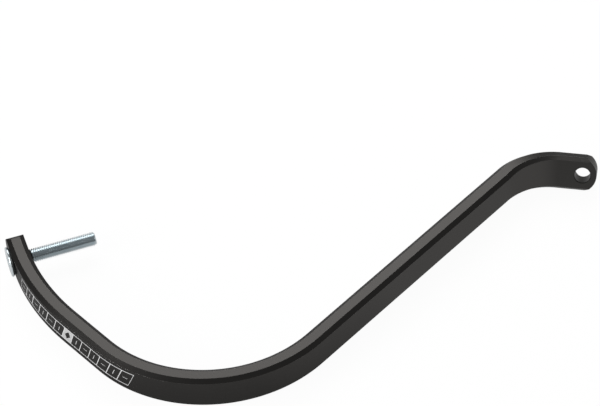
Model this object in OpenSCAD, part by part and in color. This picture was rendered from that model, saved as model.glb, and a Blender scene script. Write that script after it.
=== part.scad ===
// Motorcycle hand guard: a flat aluminium bar, bent to pass in front of the rider's
// hand, with a countersunk bolt for the handlebar's end and a hole for the inner clamp.
// The bar stands on edge. The bolt's axis is X and points into the handlebar, Z is up,
// and the origin is where that axis leaves the bar's inner face.

/* [Bar section] */
// Width of the bar, its height as it stands
bar_w = 20; // [16:1:30]
// Thickness of the bar
bar_t = 10; // [8:0.5:14]
// Chamfer of the four long edges, measured across the thickness
chamfer_t = 2.5; // [1:0.1:3.5]
// Chamfer of the four long edges, measured down the width
chamfer_w = 1.8; // [1:0.1:4]
// Radius that rounds the bar's two ends, seen square to the wide face
end_r = 11; // [11:0.5:16]

/* [Bar route] */
// Straight stretch at the bolt end
bolt_end_len = 15; // [12:1:40]
// Centre-line radius of the gentle first bend
first_bend_r = 140; // [80:5:200]
// Angle of the first bend
first_bend_angle = 24; // [10:1:35]
// Straight stretch between the first bend and the main bend
elbow_len = 30; // [10:1:60]
// Centre-line radius of the main bend
main_bend_r = 76; // [50:1:110]
// Angle of the main bend
main_bend_angle = 94.5; // [80:0.5:110]
// Long straight stretch in front of the fingers
arm_len = 160; // [100:1:220]
// Centre-line radius of the bend at the clamp end, which turns the other way
clamp_bend_r = 35; // [25:1:60]
// Angle of the bend at the clamp end
clamp_bend_angle = 58; // [30:1:75]
// Twist along that bend, which tips the clamp end's outer face up
clamp_twist = 22; // [0:1:30]
// Straight stretch at the clamp end
clamp_end_len = 22; // [16:1:40]

/* [Clamp hole] */
// Diameter of the clamp hole
clamp_hole_d = 9; // [6:0.5:10]
// Distance from the clamp end's tip to the middle of the clamp hole
clamp_hole_from_end = 8; // [7:0.5:14]
// Chamfer round both mouths of the clamp hole
clamp_hole_edge = 0.4; // [0.2:0.1:0.8]

/* [Bolt] */
// Distance from the bolt end's tip to the bolt's axis
bolt_from_end = 13.5; // [11:0.5:16]
// Outer diameter of the bolt's thread
bolt_d = 8; // [6:0.5:9]
// Length of the bolt over its head
bolt_len = 50; // [40:5:80]
// Amount by which the plain shank inside the bar is thinner than the thread, on the diameter
shank_relief = 0.8; // [0.5:0.1:1.2]
// Diameter of the countersunk head
head_d = 17; // [14:0.5:18]
// Height of the straight rim of the head
head_rim = 0.8; // [0.4:0.1:1.2]
// Rounding of the rim's edge, cut as a small chamfer
head_edge = 0.3; // [0.1:0.1:0.3]
// Full angle of the head's cone
head_angle = 90; // [82:1:100]
// Height of the head's top over the bar's outer face
head_proud = 2; // [1:0.1:2.5]
// Width across flats of the hexagon socket
socket_af = 5; // [4:0.5:5.5]
// Depth of the hexagon socket
socket_depth = 3; // [2:0.1:3.4]
// Chamfer at the bolt's tip
tip_chamfer = 0.9; // [0.5:0.1:1.2]

/* [Clearances] */
// Clearance of the bolt's hole round the thread, on the diameter
hole_play = 0.5; // [0.3:0.1:1]
// Clearance between the head's cone and its seat, on the radius
seat_gap = 0.05; // [0.05:0.05:0.2]

/* [Hidden] */
$fn = 96;
// Angle between the sections along a bend
bend_step = 2.4;
// Length by which a cutter runs past the face that it opens
past = 1;
black = "#37363a";
zinc = "#c9d3dc";
bolt_r = bolt_d / 2;
head_r = head_d / 2;
head_slope = tan(head_angle / 2);
// Depth of the cone's lower end under the head's top
cone_end = head_rim + (head_r - bolt_r) / head_slope;
// Radius of the head's seat where it opens in the bar's outer face
seat_mouth_r = head_r - (head_proud - head_rim) * head_slope + seat_gap;
seat_hole_r = (bolt_d + hole_play) / 2;

// The bar's section: X across the thickness with the inner face at the right, Y up the width
corners = [
    for (q = [[1, -1, 0], [1, 1, 0], [1, 1, 1], [-1, 1, 1], [-1, 1, 0], [-1, -1, 0], [-1, -1, 1], [1, -1, 1]])
        [q[0] * (bar_t / 2 - q[2] * chamfer_t), q[1] * (bar_w / 2 - (1 - q[2]) * chamfer_w)]
];

// The route from the bolt end to the clamp end, as stretches of [length, turn to the left, twist]
function arc_len(r, turn) = r * abs(turn) * PI / 180;
route = [
    [bolt_end_len, 0, 0],
    [arc_len(first_bend_r, first_bend_angle), first_bend_angle, 0],
    [elbow_len, 0, 0],
    [arc_len(main_bend_r, main_bend_angle), main_bend_angle, 0],
    [arm_len, 0, 0],
    [arc_len(clamp_bend_r, clamp_bend_angle), -clamp_bend_angle, -clamp_twist],
    [clamp_end_len, 0, 0]
];

// A pose on the centre line is [x, y, heading, twist]. The inner face is at its left.
bolt_tip_pose = [-bar_t / 2, bolt_from_end, -90, 0];

// The pose at a share u of the way along a stretch that starts at pose p: the chord of an arc leaves it
// at half the arc's turn
function along(p, stretch, u) =
    let (
        turn = stretch[1] * u,
        half = turn / 2,
        chord = stretch[0] * u * (turn == 0 ? 1 : sin(half) / (half * PI / 180))
    )
    [
        p[0] + chord * cos(p[2] + half),
        p[1] + chord * sin(p[2] + half),
        p[2] + turn,
        p[3] + stretch[2] * u
    ];

// The pose where stretch i starts
function start_pose(i) = i == 0 ? bolt_tip_pose : along(start_pose(i - 1), route[i - 1], 1);

clamp_tip_pose = start_pose(len(route));

module at(p)
{
    translate([p[0], p[1], 0])
        rotate([0, 0, p[2]])
            rotate([p[3], 0, 0])
                children();
}

// The section's corners in space, square to the centre line at a pose
function section_at(p) = [
    for (q = corners)
        let (side = q[0] * cos(p[3]) - q[1] * sin(p[3]))
        [
            p[0] - side * sin(p[2]),
            p[1] + side * cos(p[2]),
            q[0] * sin(p[3]) + q[1] * cos(p[3])
        ]
];

// The section carried along the whole route, with square ends
module bent_bar()
{
    n = len(corners);
    sections = [
        for (i = [0 : len(route) - 1])
            let (steps = max(1, ceil(abs(route[i][1]) / bend_step)))
            for (k = [0 : steps - 1])
                section_at(along(start_pose(i), route[i], k / steps)),
        section_at(clamp_tip_pose)
    ];
    last = len(sections) - 1;
    sides = [
        for (i = [0 : last - 1], j = [0 : n - 1])
            let (k = (j + 1) % n)
            each [
                [i * n + j, (i + 1) * n + j, (i + 1) * n + k],
                [i * n + j, (i + 1) * n + k, i * n + k]
            ]
    ];
    first_cap = [for (j = [0 : n - 1]) j];
    last_cap = [for (j = [n - 1 : -1 : 0]) last * n + j];
    polyhedron([for (c = sections) each c], concat([first_cap, last_cap], sides));
}

// What is cut off a bar along X to round its end, seen square to the wide face. The tip is at the origin.
module end_corners()
{
    rotate([90, 0, 0])
        linear_extrude(bar_w, center = true)
            difference() {
                translate([-end_r, -bar_w])
                    square([end_r + past, 2 * bar_w]);
                translate([-end_r, 0])
                    circle(r = end_r);
            }
}

// Round hole across the bar with a chamfer at both mouths, square to the wide face at the origin
module clamp_hole()
{
    mouth_r = clamp_hole_d / 2 + clamp_hole_edge + past;
    cone_len = clamp_hole_edge + past;
    rotate([90, 0, 0]) {
        cylinder(d = clamp_hole_d, h = bar_t + 2 * past, center = true);
        for (side = [0, 180])
            rotate([side, 0, 0])
                translate([0, 0, bar_t / 2 - clamp_hole_edge])
                    cylinder(r1 = clamp_hole_d / 2, r2 = mouth_r, h = cone_len);
    }
}

// Hole along X for the bolt, with a conical seat that opens in the outer face
module bolt_hole()
{
    seat_len = (seat_mouth_r - seat_hole_r) / head_slope;
    translate([-bar_t - past, 0, 0])
        rotate([0, 90, 0])
            cylinder(r = seat_hole_r, h = bar_t + 2 * past);
    translate([-bar_t - past, 0, 0])
        rotate([0, 90, 0])
            cylinder(r1 = seat_mouth_r + past * head_slope, r2 = seat_hole_r, h = seat_len + past);
}

module bar()
{
    color(black)
        difference() {
            bent_bar();
            at(bolt_tip_pose)
                rotate([0, 0, 180])
                    end_corners();
            bolt_hole();
            at(clamp_tip_pose) {
                end_corners();
                translate([-clamp_hole_from_end, 0, 0])
                    clamp_hole();
            }
        }
}

module bolt()
{
    shank_r = bolt_r - shank_relief / 2;
    shank_end = bar_t + head_proud;
    profile = [
        [0, 0],
        [head_r - head_edge, 0],
        [head_r, head_edge],
        [head_r, head_rim],
        [shank_r, cone_end + (bolt_r - shank_r) / head_slope],
        [shank_r, shank_end],
        [bolt_r, shank_end],
        [bolt_r, bolt_len - tip_chamfer],
        [bolt_r - tip_chamfer, bolt_len],
        [0, bolt_len]
    ];
    color(zinc)
        translate([-bar_t - head_proud, 0, 0])
            rotate([0, 90, 0])
                difference() {
                    rotate_extrude()
                        polygon(profile);
                    translate([0, 0, -past])
                        cylinder(d = socket_af / cos(30), h = socket_depth + past, $fn = 6);
                }
}

bar();
bolt();
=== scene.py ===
"""Motorcycle hand guard: a flat aluminium bar bent to pass in front of the rider's hand, with the bolt
that fixes it to the handlebar's end. Sizes are in millimetres and angles in degrees."""

import math

import bmesh
import bpy
import numpy as np
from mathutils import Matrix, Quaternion, Vector


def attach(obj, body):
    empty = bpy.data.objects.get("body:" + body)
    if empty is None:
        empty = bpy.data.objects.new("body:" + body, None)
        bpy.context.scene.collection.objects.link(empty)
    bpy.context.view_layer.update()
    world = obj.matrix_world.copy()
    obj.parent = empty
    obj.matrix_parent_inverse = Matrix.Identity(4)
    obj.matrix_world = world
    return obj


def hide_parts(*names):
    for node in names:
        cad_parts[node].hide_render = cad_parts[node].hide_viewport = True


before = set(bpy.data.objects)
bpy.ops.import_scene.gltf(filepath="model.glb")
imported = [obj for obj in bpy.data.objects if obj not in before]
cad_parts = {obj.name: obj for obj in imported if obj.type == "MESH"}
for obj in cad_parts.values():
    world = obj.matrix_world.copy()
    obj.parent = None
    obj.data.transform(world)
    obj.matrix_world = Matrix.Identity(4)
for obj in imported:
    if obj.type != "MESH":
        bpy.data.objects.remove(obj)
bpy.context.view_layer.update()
mm = 0.001

# Guard bar
# Flat aluminium bar, 20 by 10 mm with chamfered edges, bent in three places on a former and then black
# anodised. It is drilled and countersunk at the bolt end, drilled at the clamp end and rounded at both ends.
bar_w = 20
bar_t = 10
chamfer_t = 2.5
chamfer_w = 1.8
end_r = 11
edge_round = 0.5
edge_round_steps = 3
edge_round_from = 28
bolt_from_end = 13.5
bolt_hole_r = 4.25
seat_mouth_r = 7.35
clamp_hole_r = 4.5
clamp_hole_from_end = 8
mouth_chamfer = 0.4
drill_over = 1

# The route from the bolt end, in mm and degrees: straights of a length, and between them bends of a
# radius, a turn to the left and a twist. Each becomes a stretch of a length, a turn and a twist.
straights = np.array([15, 30, 160, 22])
bends = np.array([[140, 24, 0], [76, 94.5, 0], [35, -58, -22]])
stretches = np.zeros((len(straights) + len(bends), 3))
stretches[0::2, 0] = straights
stretches[1::2, 0] = bends[:, 0] * np.radians(np.abs(bends[:, 1]))
stretches[1::2, 1:] = bends[:, 1:]
stretch_start = np.concatenate([[0], np.cumsum(stretches[:, 0])])
bar_len = stretch_start[-1]


def advance(pose, stretch, share):
    """The pose [x, y, heading, twist] at a share of a stretch that starts at a pose.

    The chord of an arc leaves it at half the arc's turn, and is the arc's length times sin(half) / half."""
    turn = stretch[..., 1] * share
    half = np.radians(turn / 2)
    chord = stretch[..., 0] * share * np.sinc(half / np.pi)
    heading = np.radians(pose[..., 2]) + half
    moved = [
        pose[..., 0] + chord * np.cos(heading),
        pose[..., 1] + chord * np.sin(heading),
        pose[..., 2] + turn,
        pose[..., 3] + stretch[..., 2] * share,
    ]
    return np.stack(moved, axis=-1)


stretch_pose = [np.array([-bar_t / 2, bolt_from_end, -90.0, 0.0])]
for stretch in stretches:
    stretch_pose.append(advance(stretch_pose[-1], stretch, 1.0))
stretch_pose = np.array(stretch_pose)


def centre_line(s):
    """Poses at distances s along the bar: each is looked up in its stretch and advanced from its start."""
    i = np.clip(np.searchsorted(stretch_start, s, side="right") - 1, 0, len(stretches) - 1)
    share = (s - stretch_start[i]) / stretches[i, 0]
    return advance(stretch_pose[i], stretches[i], share)


def in_section(pose, across, up):
    """Points square to the bar, from the centre line towards the inner face and up along the width.

    The twist turns the pair first, then the part across the bar goes square to the heading."""
    twist = np.radians(pose[..., 3])[:, None]
    heading = np.radians(pose[..., 2])[:, None]
    side = across * np.cos(twist) - up * np.sin(twist)
    points = [
        pose[:, :1] - side * np.sin(heading),
        pose[:, 1:2] + side * np.cos(heading),
        across * np.sin(twist) + up * np.cos(twist),
    ]
    return np.stack(points, axis=-1)


def new_object(name, verts, faces):
    """A mesh object at the origin, from points in millimetres."""
    mesh = bpy.data.meshes.new(name)
    mesh.from_pydata((np.reshape(verts, (-1, 3)) * mm).tolist(), [], faces)
    obj = bpy.data.objects.new(name, mesh)
    bpy.context.scene.collection.objects.link(obj)
    return obj


# Stations along the bar: close together round the two ends, and elsewhere a step in angle or in length
# apart. The circle that rounds an end reaches the bar's full width just before its last angle.
station_turn = 1.5
station_step = 5
station_decimals = 6
end_sweep = 66
end_station_count = 23
end_angles = np.radians(np.linspace(0, end_sweep, end_station_count))
end_stations = end_r * (1 - np.cos(end_angles))
stretch_stations = [
    np.linspace(a, b, math.ceil(max(abs(turn) / station_turn, (b - a) / station_step)) + 1)
    for a, b, turn in zip(stretch_start[:-1], stretch_start[1:], stretches[:, 1])
]
stations = np.concatenate([end_stations, bar_len - end_stations] + stretch_stations)
stations = np.unique(np.round(stations, station_decimals))
from_end = np.minimum(stations, bar_len - stations)
# The half width follows the circle that rounds the end, up to the full half width.
into_end = np.maximum(end_r - from_end, 0)
half_w = np.minimum(bar_w / 2, np.sqrt(np.maximum(end_r**2 - into_end**2, 0)))
face_half_w = bar_w / 2 - chamfer_w
wide_z = np.minimum(half_w, face_half_w)
narrow_x = bar_t / 2 - (half_w - wide_z) * chamfer_t / chamfer_w
wide_x = np.full_like(half_w, bar_t / 2)
none = np.zeros_like(half_w)
# Ten columns go round the section: from the middle of the inner face down and under to the outer face,
# and back over the top.
under_across = [wide_x, wide_x, narrow_x, -narrow_x, -wide_x]
under_up = [none, -wide_z, -half_w, -half_w, -wide_z]
across = np.stack(under_across + under_across[::-1], 1)
up = np.stack(under_up + [-column for column in under_up[::-1]], 1)
bar_grid = in_section(centre_line(stations), across, up)
rows, cols = across.shape
corner = np.arange(rows - 1)[:, None] * cols + np.arange(cols - 1)[None, :]
bar_faces = np.stack([corner, corner + cols, corner + cols + 1, corner + 1], -1).reshape(-1, 4)
bar_shape = new_object("guard_bar", bar_grid, bar_faces.tolist())

# The route map holds the distance along the bar and the distance round the section from the middle of
# the outer face, both in millimetres.
chamfer_slope = math.hypot(chamfer_t, chamfer_w)
narrow_face_t = bar_t - 2 * chamfer_t
round_full = np.cumsum([0, face_half_w, chamfer_slope, narrow_face_t, chamfer_slope, face_half_w])
round_cols = np.concatenate([-round_full[:0:-1], round_full[1:]])
route_map = np.stack(np.broadcast_arrays(stations[:, None], round_cols[None, :]), -1).reshape(-1, 2)
loop_vertex = np.empty(len(bar_shape.data.loops), dtype=np.int32)
bar_shape.data.loops.foreach_get("vertex_index", loop_vertex)
route_layer = bar_shape.data.uv_layers.new(name="route")
route_layer.data.foreach_set("uv", route_map[loop_vertex].astype(np.float32).ravel())


def close_seams(obj, seam_gap, sliver=0):
    """Merges points closer than a gap, removes edges shorter than a sliver and turns the faces outwards."""
    bm = bmesh.new()
    bm.from_mesh(obj.data)
    bmesh.ops.remove_doubles(bm, verts=bm.verts, dist=seam_gap * mm)
    if sliver:
        bmesh.ops.dissolve_degenerate(bm, dist=sliver * mm, edges=bm.edges)
    bmesh.ops.recalc_face_normals(bm, faces=bm.faces)
    bm.to_mesh(obj.data)
    bm.free()


close_seams(bar_shape, seam_gap=0.002)


def revolved(name, profile, origin, axis, steps=96):
    """A closed solid of revolution about an axis: each [distance along the axis, radius] becomes a ring,
    rings are joined by faces, and the two end rings are capped."""
    turn = Vector((0, 0, 1)).rotation_difference(Vector(axis)).to_matrix()
    angle = np.linspace(0, 2 * np.pi, steps, endpoint=False)
    profile = np.asarray(profile, dtype=float)
    ring = np.stack([np.cos(angle), np.sin(angle)], -1)
    heights = np.broadcast_to(profile[:, None, :1], (len(profile), steps, 1))
    points = np.concatenate([profile[:, None, 1:] * ring[None], heights], -1).reshape(-1, 3)
    points = points @ np.array(turn).T + np.asarray(origin)
    i = np.arange(len(profile) - 1)[:, None] * steps
    j = np.arange(steps)[None, :]
    k = (j + 1) % steps
    sides = np.stack([i + j, i + k, i + steps + k, i + steps + j], -1).reshape(-1, 4).tolist()
    caps = [list(range(steps))[::-1], list(range((len(profile) - 1) * steps, len(profile) * steps))]
    return new_object(name, points, sides + caps)


clamp_pose = centre_line(np.array([bar_len - clamp_hole_from_end]))
clamp_middle, clamp_inner = in_section(clamp_pose, np.array([[0.0, 1.0]]), np.zeros((1, 2)))[0]
mouth = bar_t / 2 - mouth_chamfer
outside = bar_t / 2 + drill_over
outside_r = clamp_hole_r + mouth_chamfer + drill_over
clamp_drill = revolved(
    "clamp_drill",
    [[-outside, outside_r], [-mouth, clamp_hole_r], [mouth, clamp_hole_r], [outside, outside_r]],
    origin=clamp_middle,
    axis=clamp_inner - clamp_middle,
)
seat_depth = seat_mouth_r - bolt_hole_r
bolt_drill = revolved(
    "bolt_drill",
    [
        [-bar_t - drill_over, seat_mouth_r + drill_over],
        [-bar_t + seat_depth, bolt_hole_r],
        [drill_over, bolt_hole_r],
    ],
    origin=(0, 0, 0),
    axis=(1, 0, 0),
)
eased = bar_shape.modifiers.new("eased_edges", "BEVEL")
eased.width = edge_round * mm
eased.segments = edge_round_steps
eased.limit_method = "ANGLE"
eased.angle_limit = math.radians(edge_round_from)
# The rounded edges take the bar's second material, which carries a painted highlight.
eased.material = 1
for drill in (clamp_drill, bolt_drill):
    drilled = bar_shape.modifiers.new(drill.name, "BOOLEAN")
    drilled.object = drill
    drilled.solver = "EXACT"
bar_shape.modifiers.new("flat_face_normals", "WEIGHTED_NORMAL").keep_sharp = True


def place(tree, kind, inputs=None, **settings):
    """A node: settings are its properties, and inputs gives its sockets a value or another node's output."""
    made = tree.nodes.new(kind)
    for key, value in settings.items():
        setattr(made, key, value)
    for socket, value in (inputs or {}).items():
        if isinstance(value, bpy.types.NodeSocket):
            tree.links.new(value, made.inputs[socket])
        else:
            made.inputs[socket].default_value = value
    return made


def calc(tree, operation, *values):
    """The result of one math operation on values or sockets."""
    return place(tree, "ShaderNodeMath", dict(enumerate(values)), operation=operation).outputs[0]


def blend(tree, share, low, high):
    """A colour between two colours, by a mask: low + share * (high - low)."""
    # A Mix node has one set of sockets for each kind of value. These are the factor and the two colours.
    inputs = {0: share, 6: low, 7: high}
    return place(tree, "ShaderNodeMix", inputs, data_type="RGBA").outputs[2]


def span(tree, value, low, high):
    """A mask stretched from 0..1 to low..high."""
    inputs = {"Value": value, "To Min": low, "To Max": high}
    return place(tree, "ShaderNodeMapRange", inputs).outputs["Result"]


def make_surface_grain():
    """Fine grain and slow mottling of a plated or anodised surface, as two masks from a place in metres."""
    group = bpy.data.node_groups.new("surface_grain", "ShaderNodeTree")
    group.interface.new_socket("Place", in_out="INPUT", socket_type="NodeSocketVector")
    for name in ("Grain per metre", "Mottle per metre"):
        group.interface.new_socket(name, in_out="INPUT", socket_type="NodeSocketFloat")
    for name in ("Grain", "Mottle"):
        group.interface.new_socket(name, in_out="OUTPUT", socket_type="NodeSocketFloat")
    taken = group.nodes.new("NodeGroupInput").outputs
    given = group.nodes.new("NodeGroupOutput").inputs
    for name, scale, detail in (("Grain", "Grain per metre", 2.0), ("Mottle", "Mottle per metre", 4.0)):
        inputs = {"Vector": taken["Place"], "Scale": taken[scale], "Detail": detail}
        group.links.new(place(group, "ShaderNodeTexNoise", inputs).outputs["Fac"], given[name])
    return group


surface_grain = make_surface_grain()


def new_metal(name, grain_per_metre, mottle_per_metre, bump_strength, bump_depth):
    """A metal with the surface grain as its bump: its material, tree, surface shader and grain node."""
    material = bpy.data.materials.new(name)
    material.use_nodes = True
    tree = material.node_tree
    surface = tree.nodes["Principled BSDF"]
    surface.inputs["Metallic"].default_value = 1
    inputs = {
        "Place": place(tree, "ShaderNodeTexCoord").outputs["Object"],
        "Grain per metre": grain_per_metre,
        "Mottle per metre": mottle_per_metre,
    }
    grain = place(tree, "ShaderNodeGroup", inputs, node_tree=surface_grain)
    relief = {"Height": grain.outputs["Grain"], "Strength": bump_strength, "Distance": bump_depth * mm}
    tree.links.new(place(tree, "ShaderNodeBump", relief).outputs["Normal"], surface.inputs["Normal"])
    return material, tree, surface, grain


# The print on the outer face: a band of slanted outlined blocks that touch each other, in mm on the
# route map. Each block has a stroke in it, and the middle one is filled round a diamond.
print_start = 31
print_rise = 0.3
print_slant = 0.42
print_line = 0.5
print_blur = 0.12
block_pitch = 7.3
block_count = 13
block_half_len = block_pitch / 2
block_half_height = 5.3
stroke_half_line = print_line / 3
stroke_share = 0.4
diamond_half_len = block_half_len * 0.6
diamond_flatness = 0.6
fill_strength = 0.75


def box_distance(tree, x, y, half_x, half_y):
    """Distance to a rectangle's edge, negative inside: the larger of |x| - half_x and |y| - half_y."""
    past_x = calc(tree, "SUBTRACT", calc(tree, "ABSOLUTE", x), half_x)
    past_y = calc(tree, "SUBTRACT", calc(tree, "ABSOLUTE", y), half_y)
    return calc(tree, "MAXIMUM", past_x, past_y)


def below(tree, value, edge):
    """1 where a value is below an edge, with a soft step that reaches the print's blur to each side."""
    inputs = {
        "Value": value,
        "From Min": edge - print_blur,
        "From Max": edge + print_blur,
        "To Min": 1.0,
        "To Max": 0.0,
    }
    return place(tree, "ShaderNodeMapRange", inputs, interpolation_type="SMOOTHSTEP").outputs["Result"]


def opposite(tree, mask):
    """One minus a mask."""
    return calc(tree, "SUBTRACT", 1.0, mask)


def print_mask(tree, along, height):
    """1 on the print. The place along the band leans with its height, its whole number of pitches is the
    block's number, and what is left over is the place in the block, with 0 in its middle."""
    y = calc(tree, "SUBTRACT", height, print_rise)
    from_start = calc(tree, "SUBTRACT", along, print_start)
    leaned = calc(tree, "SUBTRACT", from_start, calc(tree, "MULTIPLY", y, print_slant))
    cell = calc(tree, "FLOOR", calc(tree, "DIVIDE", leaned, block_pitch))
    middle = calc(tree, "MULTIPLY", calc(tree, "ADD", cell, 0.5), block_pitch)
    x = calc(tree, "SUBTRACT", leaned, middle)
    block = box_distance(tree, x, y, block_half_len, block_half_height)
    outline = below(tree, calc(tree, "ABSOLUTE", block), print_line / 2)
    stroke_half_height = block_half_height * stroke_share
    stroke_half_len = block_half_len * stroke_share
    upright = below(tree, box_distance(tree, x, y, stroke_half_line, stroke_half_height), 0.0)
    level = below(tree, box_distance(tree, x, y, stroke_half_len, stroke_half_line), 0.0)
    odd = calc(tree, "MODULO", cell, 2.0)
    in_odd = calc(tree, "MULTIPLY", upright, odd)
    in_even = calc(tree, "MULTIPLY", level, opposite(tree, odd))
    stroke = calc(tree, "ADD", in_odd, in_even)
    in_middle = calc(tree, "COMPARE", cell, float(block_count // 2), 0.5)
    flattened = calc(tree, "MULTIPLY", calc(tree, "ABSOLUTE", y), diamond_flatness)
    diamond = calc(tree, "ADD", calc(tree, "ABSOLUTE", x), flattened)
    round_diamond = opposite(tree, below(tree, diamond, diamond_half_len))
    filled = calc(tree, "MULTIPLY", below(tree, block, 0.0), round_diamond)
    filled = calc(tree, "MULTIPLY", filled, calc(tree, "MULTIPLY", in_middle, fill_strength))
    stroke = calc(tree, "MULTIPLY", stroke, opposite(tree, in_middle))
    drawn = calc(tree, "MAXIMUM", outline, calc(tree, "MAXIMUM", stroke, filled))
    after_start = calc(tree, "GREATER_THAN", cell, -0.5)
    before_end = calc(tree, "LESS_THAN", cell, block_count - 0.5)
    on_band = calc(tree, "MULTIPLY", after_start, before_end)
    on_face = calc(tree, "LESS_THAN", calc(tree, "ABSOLUTE", height), face_half_w)
    return calc(tree, "MULTIPLY", drawn, calc(tree, "MULTIPLY", on_band, on_face))


# The film's drawn lines are noise with so many cells per mm along the bar and round it.
line_cells_along = 0.03
line_cells_round = 1.6
film_rough = (0.28, 0.42)
ink_colour = (0.85, 0.85, 0.85, 1)
ink_rough = 0.2


def anodised(name, dark, light, flat_tint, printed):
    """Black anodised aluminium: a dyed film on the metal, with faint drawn lines along the bar, mottling,
    fine grain, and the print where there is one. The flat tint scales its gloss at a flat angle."""
    material, tree, surface, grain = new_metal(
        name, grain_per_metre=2500, mottle_per_metre=30, bump_strength=0.06, bump_depth=0.1
    )
    route = place(tree, "ShaderNodeUVMap", uv_map="route").outputs[0]
    route = place(tree, "ShaderNodeSeparateXYZ", {0: route}).outputs
    line_place = {
        "X": calc(tree, "MULTIPLY", route["X"], line_cells_along),
        "Y": calc(tree, "MULTIPLY", route["Y"], line_cells_round),
    }
    line_place = place(tree, "ShaderNodeCombineXYZ", line_place).outputs[0]
    lines = place(tree, "ShaderNodeTexNoise", {"Vector": line_place, "Scale": 1.0, "Detail": 3.0})
    half_mottle = calc(tree, "MULTIPLY", grain.outputs["Mottle"], 0.5)
    tone = calc(tree, "MULTIPLY_ADD", lines.outputs["Fac"], 0.5, half_mottle)
    colour = blend(tree, tone, dark, light)
    rough = span(tree, tone, *film_rough)
    if printed:
        mask = print_mask(tree, route["X"], route["Y"])
        colour = blend(tree, mask, colour, ink_colour)
        rough = calc(tree, "MULTIPLY_ADD", mask, ink_rough, rough)
        tree.links.new(opposite(tree, mask), surface.inputs["Metallic"])
    tree.links.new(colour, surface.inputs["Base Color"])
    tree.links.new(rough, surface.inputs["Roughness"])
    surface.inputs["Specular Tint"].default_value = (flat_tint, flat_tint, flat_tint, 1)
    return material


# The faces take the film's own colour. The rounded edges are painted far lighter than the faces, as a painted
# highlight along the edges.
film_dark = (0.047, 0.0452, 0.0436, 1)
film_light = (0.062, 0.0595, 0.0570, 1)
edge_highlight_dark = (0.2, 0.194, 0.188, 1)
edge_highlight_light = (0.28, 0.272, 0.264, 1)
black_face = anodised("black_anodised", film_dark, film_light, flat_tint=0.6, printed=True)
black_edge_highlight = anodised("black_anodised_painted_edge_highlight", edge_highlight_dark, edge_highlight_light, flat_tint=1.0, printed=False)
bar_shape.data.materials.append(black_face)
bar_shape.data.materials.append(black_edge_highlight)
bar_shape.data.shade_smooth()
finished_bar = bar_shape.evaluated_get(bpy.context.evaluated_depsgraph_get())
finished = bpy.data.meshes.new_from_object(finished_bar)
for unused in (clamp_drill, bolt_drill, bar_shape):
    bpy.data.objects.remove(unused)
bar = bpy.data.objects.new("guard_bar", finished)
bpy.context.scene.collection.objects.link(bar)
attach(bar, "root")
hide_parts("bar")

# Handlebar-end bolt
# M8 countersunk bolt with a hexagon socket, turned and rolled from steel and bright zinc plated. Its cone
# sits in the bar's seat with the rim standing proud, and its thread screws into the handlebar's end.
bolt_r = 4
bolt_len = 50
head_r = 8.5
head_rim = 0.8
head_edge = 0.3
head_proud = 2
socket_af = 5
socket_depth = 3
socket_lead = 0.35
drill_r = 1.6
drill_depth = 0.35
drill_point_r = 0.2
drill_point_depth = 0.9
shank_r = 3.6
thread_pitch = 1.25
thread_depth = 0.72
thread_run_in = 0.5
tip_chamfer = 0.9
tip_ease = 0.02
ease = 0.06
face_ring_r = 4.6
tip_ring_r = 1.2
bolt_sharp_from = 35
round_steps = 96

head_top = -bar_t - head_proud
cone_end = head_rim + head_r - shank_r
thread_start = bar_t + head_proud
socket_r = socket_af / 2 / math.cos(math.pi / 6)
lead_r = socket_r + socket_lead
# Each station of the head and shank is a depth under the head's top, a radius and how far its ring is a
# hexagon, from the drill's point in the socket to the plain shank. Small steps ease the edges.
head_profile = np.array(
    [
        [socket_depth + drill_point_depth, drill_point_r, 0],
        [socket_depth + drill_depth, drill_r, 0],
        [socket_depth, socket_r * 0.985, 1],
        [socket_depth - ease, socket_r, 1],
        [socket_lead, socket_r, 1],
        [ease, lead_r, 0.6],
        [0, lead_r + 2 * ease, 0.5],
        [0, face_ring_r, 0],
        [0, head_r - head_edge - 0.15, 0],
        [0.05, head_r - head_edge, 0],
        [head_edge, head_r - 0.05, 0],
        [head_edge + 2 * ease, head_r, 0],
        [head_rim - 0.08, head_r, 0],
        [head_rim + ease, head_r - ease, 0],
        [cone_end, shank_r, 0],
        [thread_start - thread_run_in - 0.1, shank_r, 0],
    ]
)
thread_first = thread_start - thread_run_in
thread_last = bolt_len - tip_ease
tip_profile = np.array([[bolt_len, bolt_r - tip_chamfer - tip_ease, 0], [bolt_len, tip_ring_r, 0]])
angle = np.linspace(0, 2 * np.pi, round_steps, endpoint=False)
# A hexagon's radius over the angle, with 1 at its corners: cos(30 degrees) over the cosine of the angle
# to the middle of the nearest side.
to_side = (angle + np.pi / 6) % (np.pi / 3) - np.pi / 6
hexagon = math.cos(math.pi / 6) / np.cos(to_side)


def ring_grid(profile):
    """Depth and radius of plain rings over the angle: radius times the hexagon, by the ring's share of it."""
    ring_r = profile[:, 1:2] * (1 + profile[:, 2:] * (hexagon[None] - 1))
    return np.broadcast_to(profile[:, :1], ring_r.shape), ring_r


# The thread's rows follow the helix: a row is [place in the turn, radius], and each turn lies one pitch
# further on. Crest and root are each flat over twice this share of the pitch.
half_flat = 0.06
root_r = bolt_r - thread_depth
turn_rows = np.array(
    [
        [0, bolt_r],
        [half_flat, bolt_r],
        [0.5 - half_flat, root_r],
        [0.5 + half_flat, root_r],
        [1 - half_flat, bolt_r],
    ]
)
# One turn more at each end lets the helix pass both ends of the thread.
turns = math.ceil((thread_last - thread_first) / thread_pitch) + 2
helix_turn = (np.arange(turns)[:, None] - 1 + turn_rows[None, :, 0]).ravel()
helix_r = np.tile(turn_rows[:, 1], turns)


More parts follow.
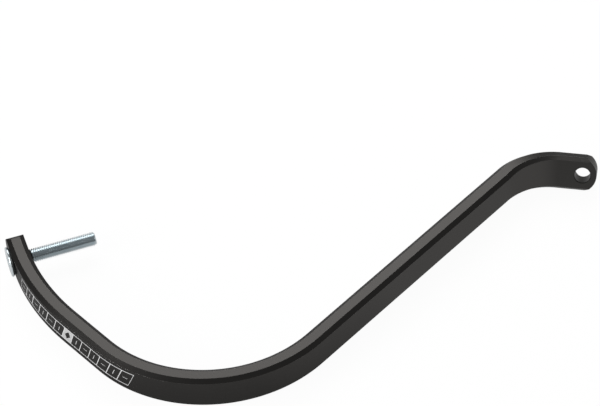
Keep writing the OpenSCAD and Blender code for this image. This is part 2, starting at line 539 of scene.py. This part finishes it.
def thread_grid():
    """Depth and radius of the thread's rows over the angle: depth = first + pitch * (turn + angle / 2 pi),
    kept between the thread's two ends. It grows out of the shank over its first turn, and the tip's cone
    cuts it."""
    free = thread_first + thread_pitch * (helix_turn[:, None] + angle[None] / (2 * np.pi))
    x = np.clip(free, thread_first, thread_last)
    grown = np.clip((x - thread_start) / thread_pitch, 0, 1)
    r = shank_r + (helix_r[:, None] - shank_r) * grown
    cone = bolt_r - tip_chamfer + (bolt_len - x)
    return x, np.minimum(np.where(free <= thread_first, shank_r, r), cone)


grids = [ring_grid(head_profile), thread_grid(), ring_grid(tip_profile)]
depth = np.concatenate([g[0] for g in grids])
radius = np.concatenate([g[1] for g in grids])
bolt_grid = np.stack([head_top + depth, radius * np.cos(angle), radius * np.sin(angle)], -1)
poles = [[head_top + socket_depth + drill_point_depth + 0.05, 0, 0], [head_top + bolt_len, 0, 0]]
bolt_points = np.concatenate([bolt_grid.reshape(-1, 3), poles])
# A face joins four neighbours in the grid. In the thread, the last column meets the first one a full turn
# of rows further on.
rings = len(depth)
first_row = len(head_profile)
last_row = first_row + len(helix_turn)
column = np.arange(round_steps)


def grid_index(rows, columns):
    """The index of a grid point: past the last column, a thread row goes on in the row one turn further."""
    wrapped = columns // round_steps
    in_thread = (rows >= first_row) & (rows < last_row)
    moved = np.where(in_thread, np.minimum(rows + wrapped * len(turn_rows), last_row - 1), rows)
    return moved * round_steps + columns % round_steps


row_grid, column_grid = np.meshgrid(np.arange(rings - 1), column, indexing="ij")
walls = np.stack(
    [
        grid_index(row_grid, column_grid),
        grid_index(row_grid, column_grid + 1),
        grid_index(row_grid + 1, column_grid + 1),
        grid_index(row_grid + 1, column_grid),
    ],
    -1,
).reshape(-1, 4).tolist()
first_pole = len(bolt_points) - 2
next_column = (column + 1) % round_steps
last_ring = (rings - 1) * round_steps
first_fan = np.stack([np.full(round_steps, first_pole), next_column, column], -1).tolist()
last_fan = np.stack([np.full(round_steps, first_pole + 1), last_ring + column, last_ring + next_column], -1)
bolt = new_object("end_bolt", bolt_points, walls + first_fan + last_fan.tolist())
close_seams(bolt, seam_gap=0.001, sliver=0.0005)
bolt.data.shade_smooth()
bolt.data.set_sharp_from_angle(angle=math.radians(bolt_sharp_from))

zinc_dark = (0.56, 0.64, 0.68, 1)
zinc_light = (0.73, 0.78, 0.80, 1)
zinc_rough = (0.16, 0.3)
zinc, tree, surface, grain = new_metal(
    "bright_zinc", grain_per_metre=3500, mottle_per_metre=260, bump_strength=0.08, bump_depth=0.05
)
mottle = grain.outputs["Mottle"]
tree.links.new(blend(tree, mottle, zinc_dark, zinc_light), surface.inputs["Base Color"])
tree.links.new(span(tree, mottle, *zinc_rough), surface.inputs["Roughness"])
bolt.data.materials.append(zinc)
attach(bolt, "root")
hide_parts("bolt")

# Studio
# The guard lies on a plain white sweep under two soft boxes, one high behind it and one at its left.
# Towards the left the sweep's glow is dimmed for the metal's rays only: a painted shade in the reflection,
# which darkens the outer face round the main bend.
floor_z = -10.35
floor_size = 6000
floor_middle = [150, 0]
floor_colour = (0.8, 0.8, 0.8, 1)
white = (1, 1, 1, 1)
glow_strength = 1.04
glow_share = 0.92
# Painted shade in the metal's reflection: the glow that metal sees is dimmed to a share at the first place
# and is full from the second.
reflection_shade_x = 90
reflection_shade_end_x = 190
reflection_shade_share = 0.3
floor_points = np.array([[-1, -1], [1, -1], [1, 1], [-1, 1]]) * floor_size / 2 + floor_middle
floor = new_object("floor", np.column_stack([floor_points, np.full(4, floor_z)]), [[0, 1, 2, 3]])


def seen_white(tree):
    """1 for the camera's rays, and for the rays that metal or glass sends on a share that rises in a straight
    line from the place of the painted reflection shade to the place where the glow is full again."""
    path = place(tree, "ShaderNodeLightPath").outputs
    spot = place(tree, "ShaderNodeTexCoord").outputs["Object"]
    spot_x = place(tree, "ShaderNodeSeparateXYZ", {0: spot}).outputs["X"]
    inputs = {"Value": spot_x, "From Min": reflection_shade_x * mm, "From Max": reflection_shade_end_x * mm, "To Min": reflection_shade_share}
    share = place(tree, "ShaderNodeMapRange", inputs).outputs["Result"]
    sent_on = calc(tree, "MAXIMUM", path["Is Glossy Ray"], path["Is Transmission Ray"])
    return calc(tree, "MAXIMUM", path["Is Camera Ray"], calc(tree, "MULTIPLY", sent_on, share))


paper = bpy.data.materials.new("white_sweep")
paper.use_nodes = True
tree = paper.node_tree
tree.nodes.clear()
matt = place(tree, "ShaderNodeBsdfDiffuse", {"Color": floor_colour})
glow = place(tree, "ShaderNodeEmission", {"Color": white, "Strength": glow_strength})
glow_mask = calc(tree, "MULTIPLY", seen_white(tree), glow_share)
mixed = place(tree, "ShaderNodeMixShader", {0: glow_mask, 1: matt.outputs[0], 2: glow.outputs[0]})
place(tree, "ShaderNodeOutputMaterial", {0: mixed.outputs[0]})
floor.data.materials.append(paper)

room_light = 0.25
world = bpy.data.worlds.new("studio")
bpy.context.scene.world = world
world.use_nodes = True
tree = world.node_tree
tree.nodes.clear()
camera_only = place(tree, "ShaderNodeLightPath").outputs["Is Camera Ray"]
room_strength = span(tree, camera_only, room_light, 1.0)
room = place(tree, "ShaderNodeBackground", {"Color": white, "Strength": room_strength})
place(tree, "ShaderNodeOutputWorld", {0: room.outputs[0]})

lamp_aim = Vector((150, -50, 0))


def soft_box(name, place_mm, width, height, watts):
    """A rectangular lamp at a place, facing the lamps' aim."""
    lamp = bpy.data.lights.new(name, "AREA")
    lamp.shape = "RECTANGLE"
    lamp.size = width * mm
    lamp.size_y = height * mm
    lamp.energy = watts
    holder = bpy.data.objects.new(name, lamp)
    bpy.context.scene.collection.objects.link(holder)
    holder.location = Vector(place_mm) * mm
    holder.rotation_euler = (lamp_aim - Vector(place_mm)).to_track_quat("-Z", "Y").to_euler()
    holder.visible_camera = False


soft_box("back_box", (400, 1000, 1100), width=1600, height=1000, watts=13)
soft_box("left_box", (-1300, -250, 400), width=900, height=650, watts=13)

# Camera
# The photograph's view: 45 degrees down, with a slight roll, through a long lens. Only the far end of
# the camera's range is in metres.
camera_eye = Vector((-103.718, -856.463, 878.833))
camera_aim = Vector((156.715, -6.64, -10))
camera_roll = 3.337
lens = bpy.data.cameras.new("camera")
lens.sensor_width = 36
lens.lens = 131.96
lens.clip_end = 50
camera = bpy.data.objects.new("camera", lens)
bpy.context.scene.collection.objects.link(camera)
camera.location = camera_eye * mm
level = (camera_aim - camera_eye).to_track_quat("-Z", "Y")
camera.rotation_mode = "QUATERNION"
camera.rotation_quaternion = level @ Quaternion((0, 0, 1), -math.radians(camera_roll))
bpy.context.scene.camera = camera
bpy.context.scene.view_settings.view_transform = "Standard"
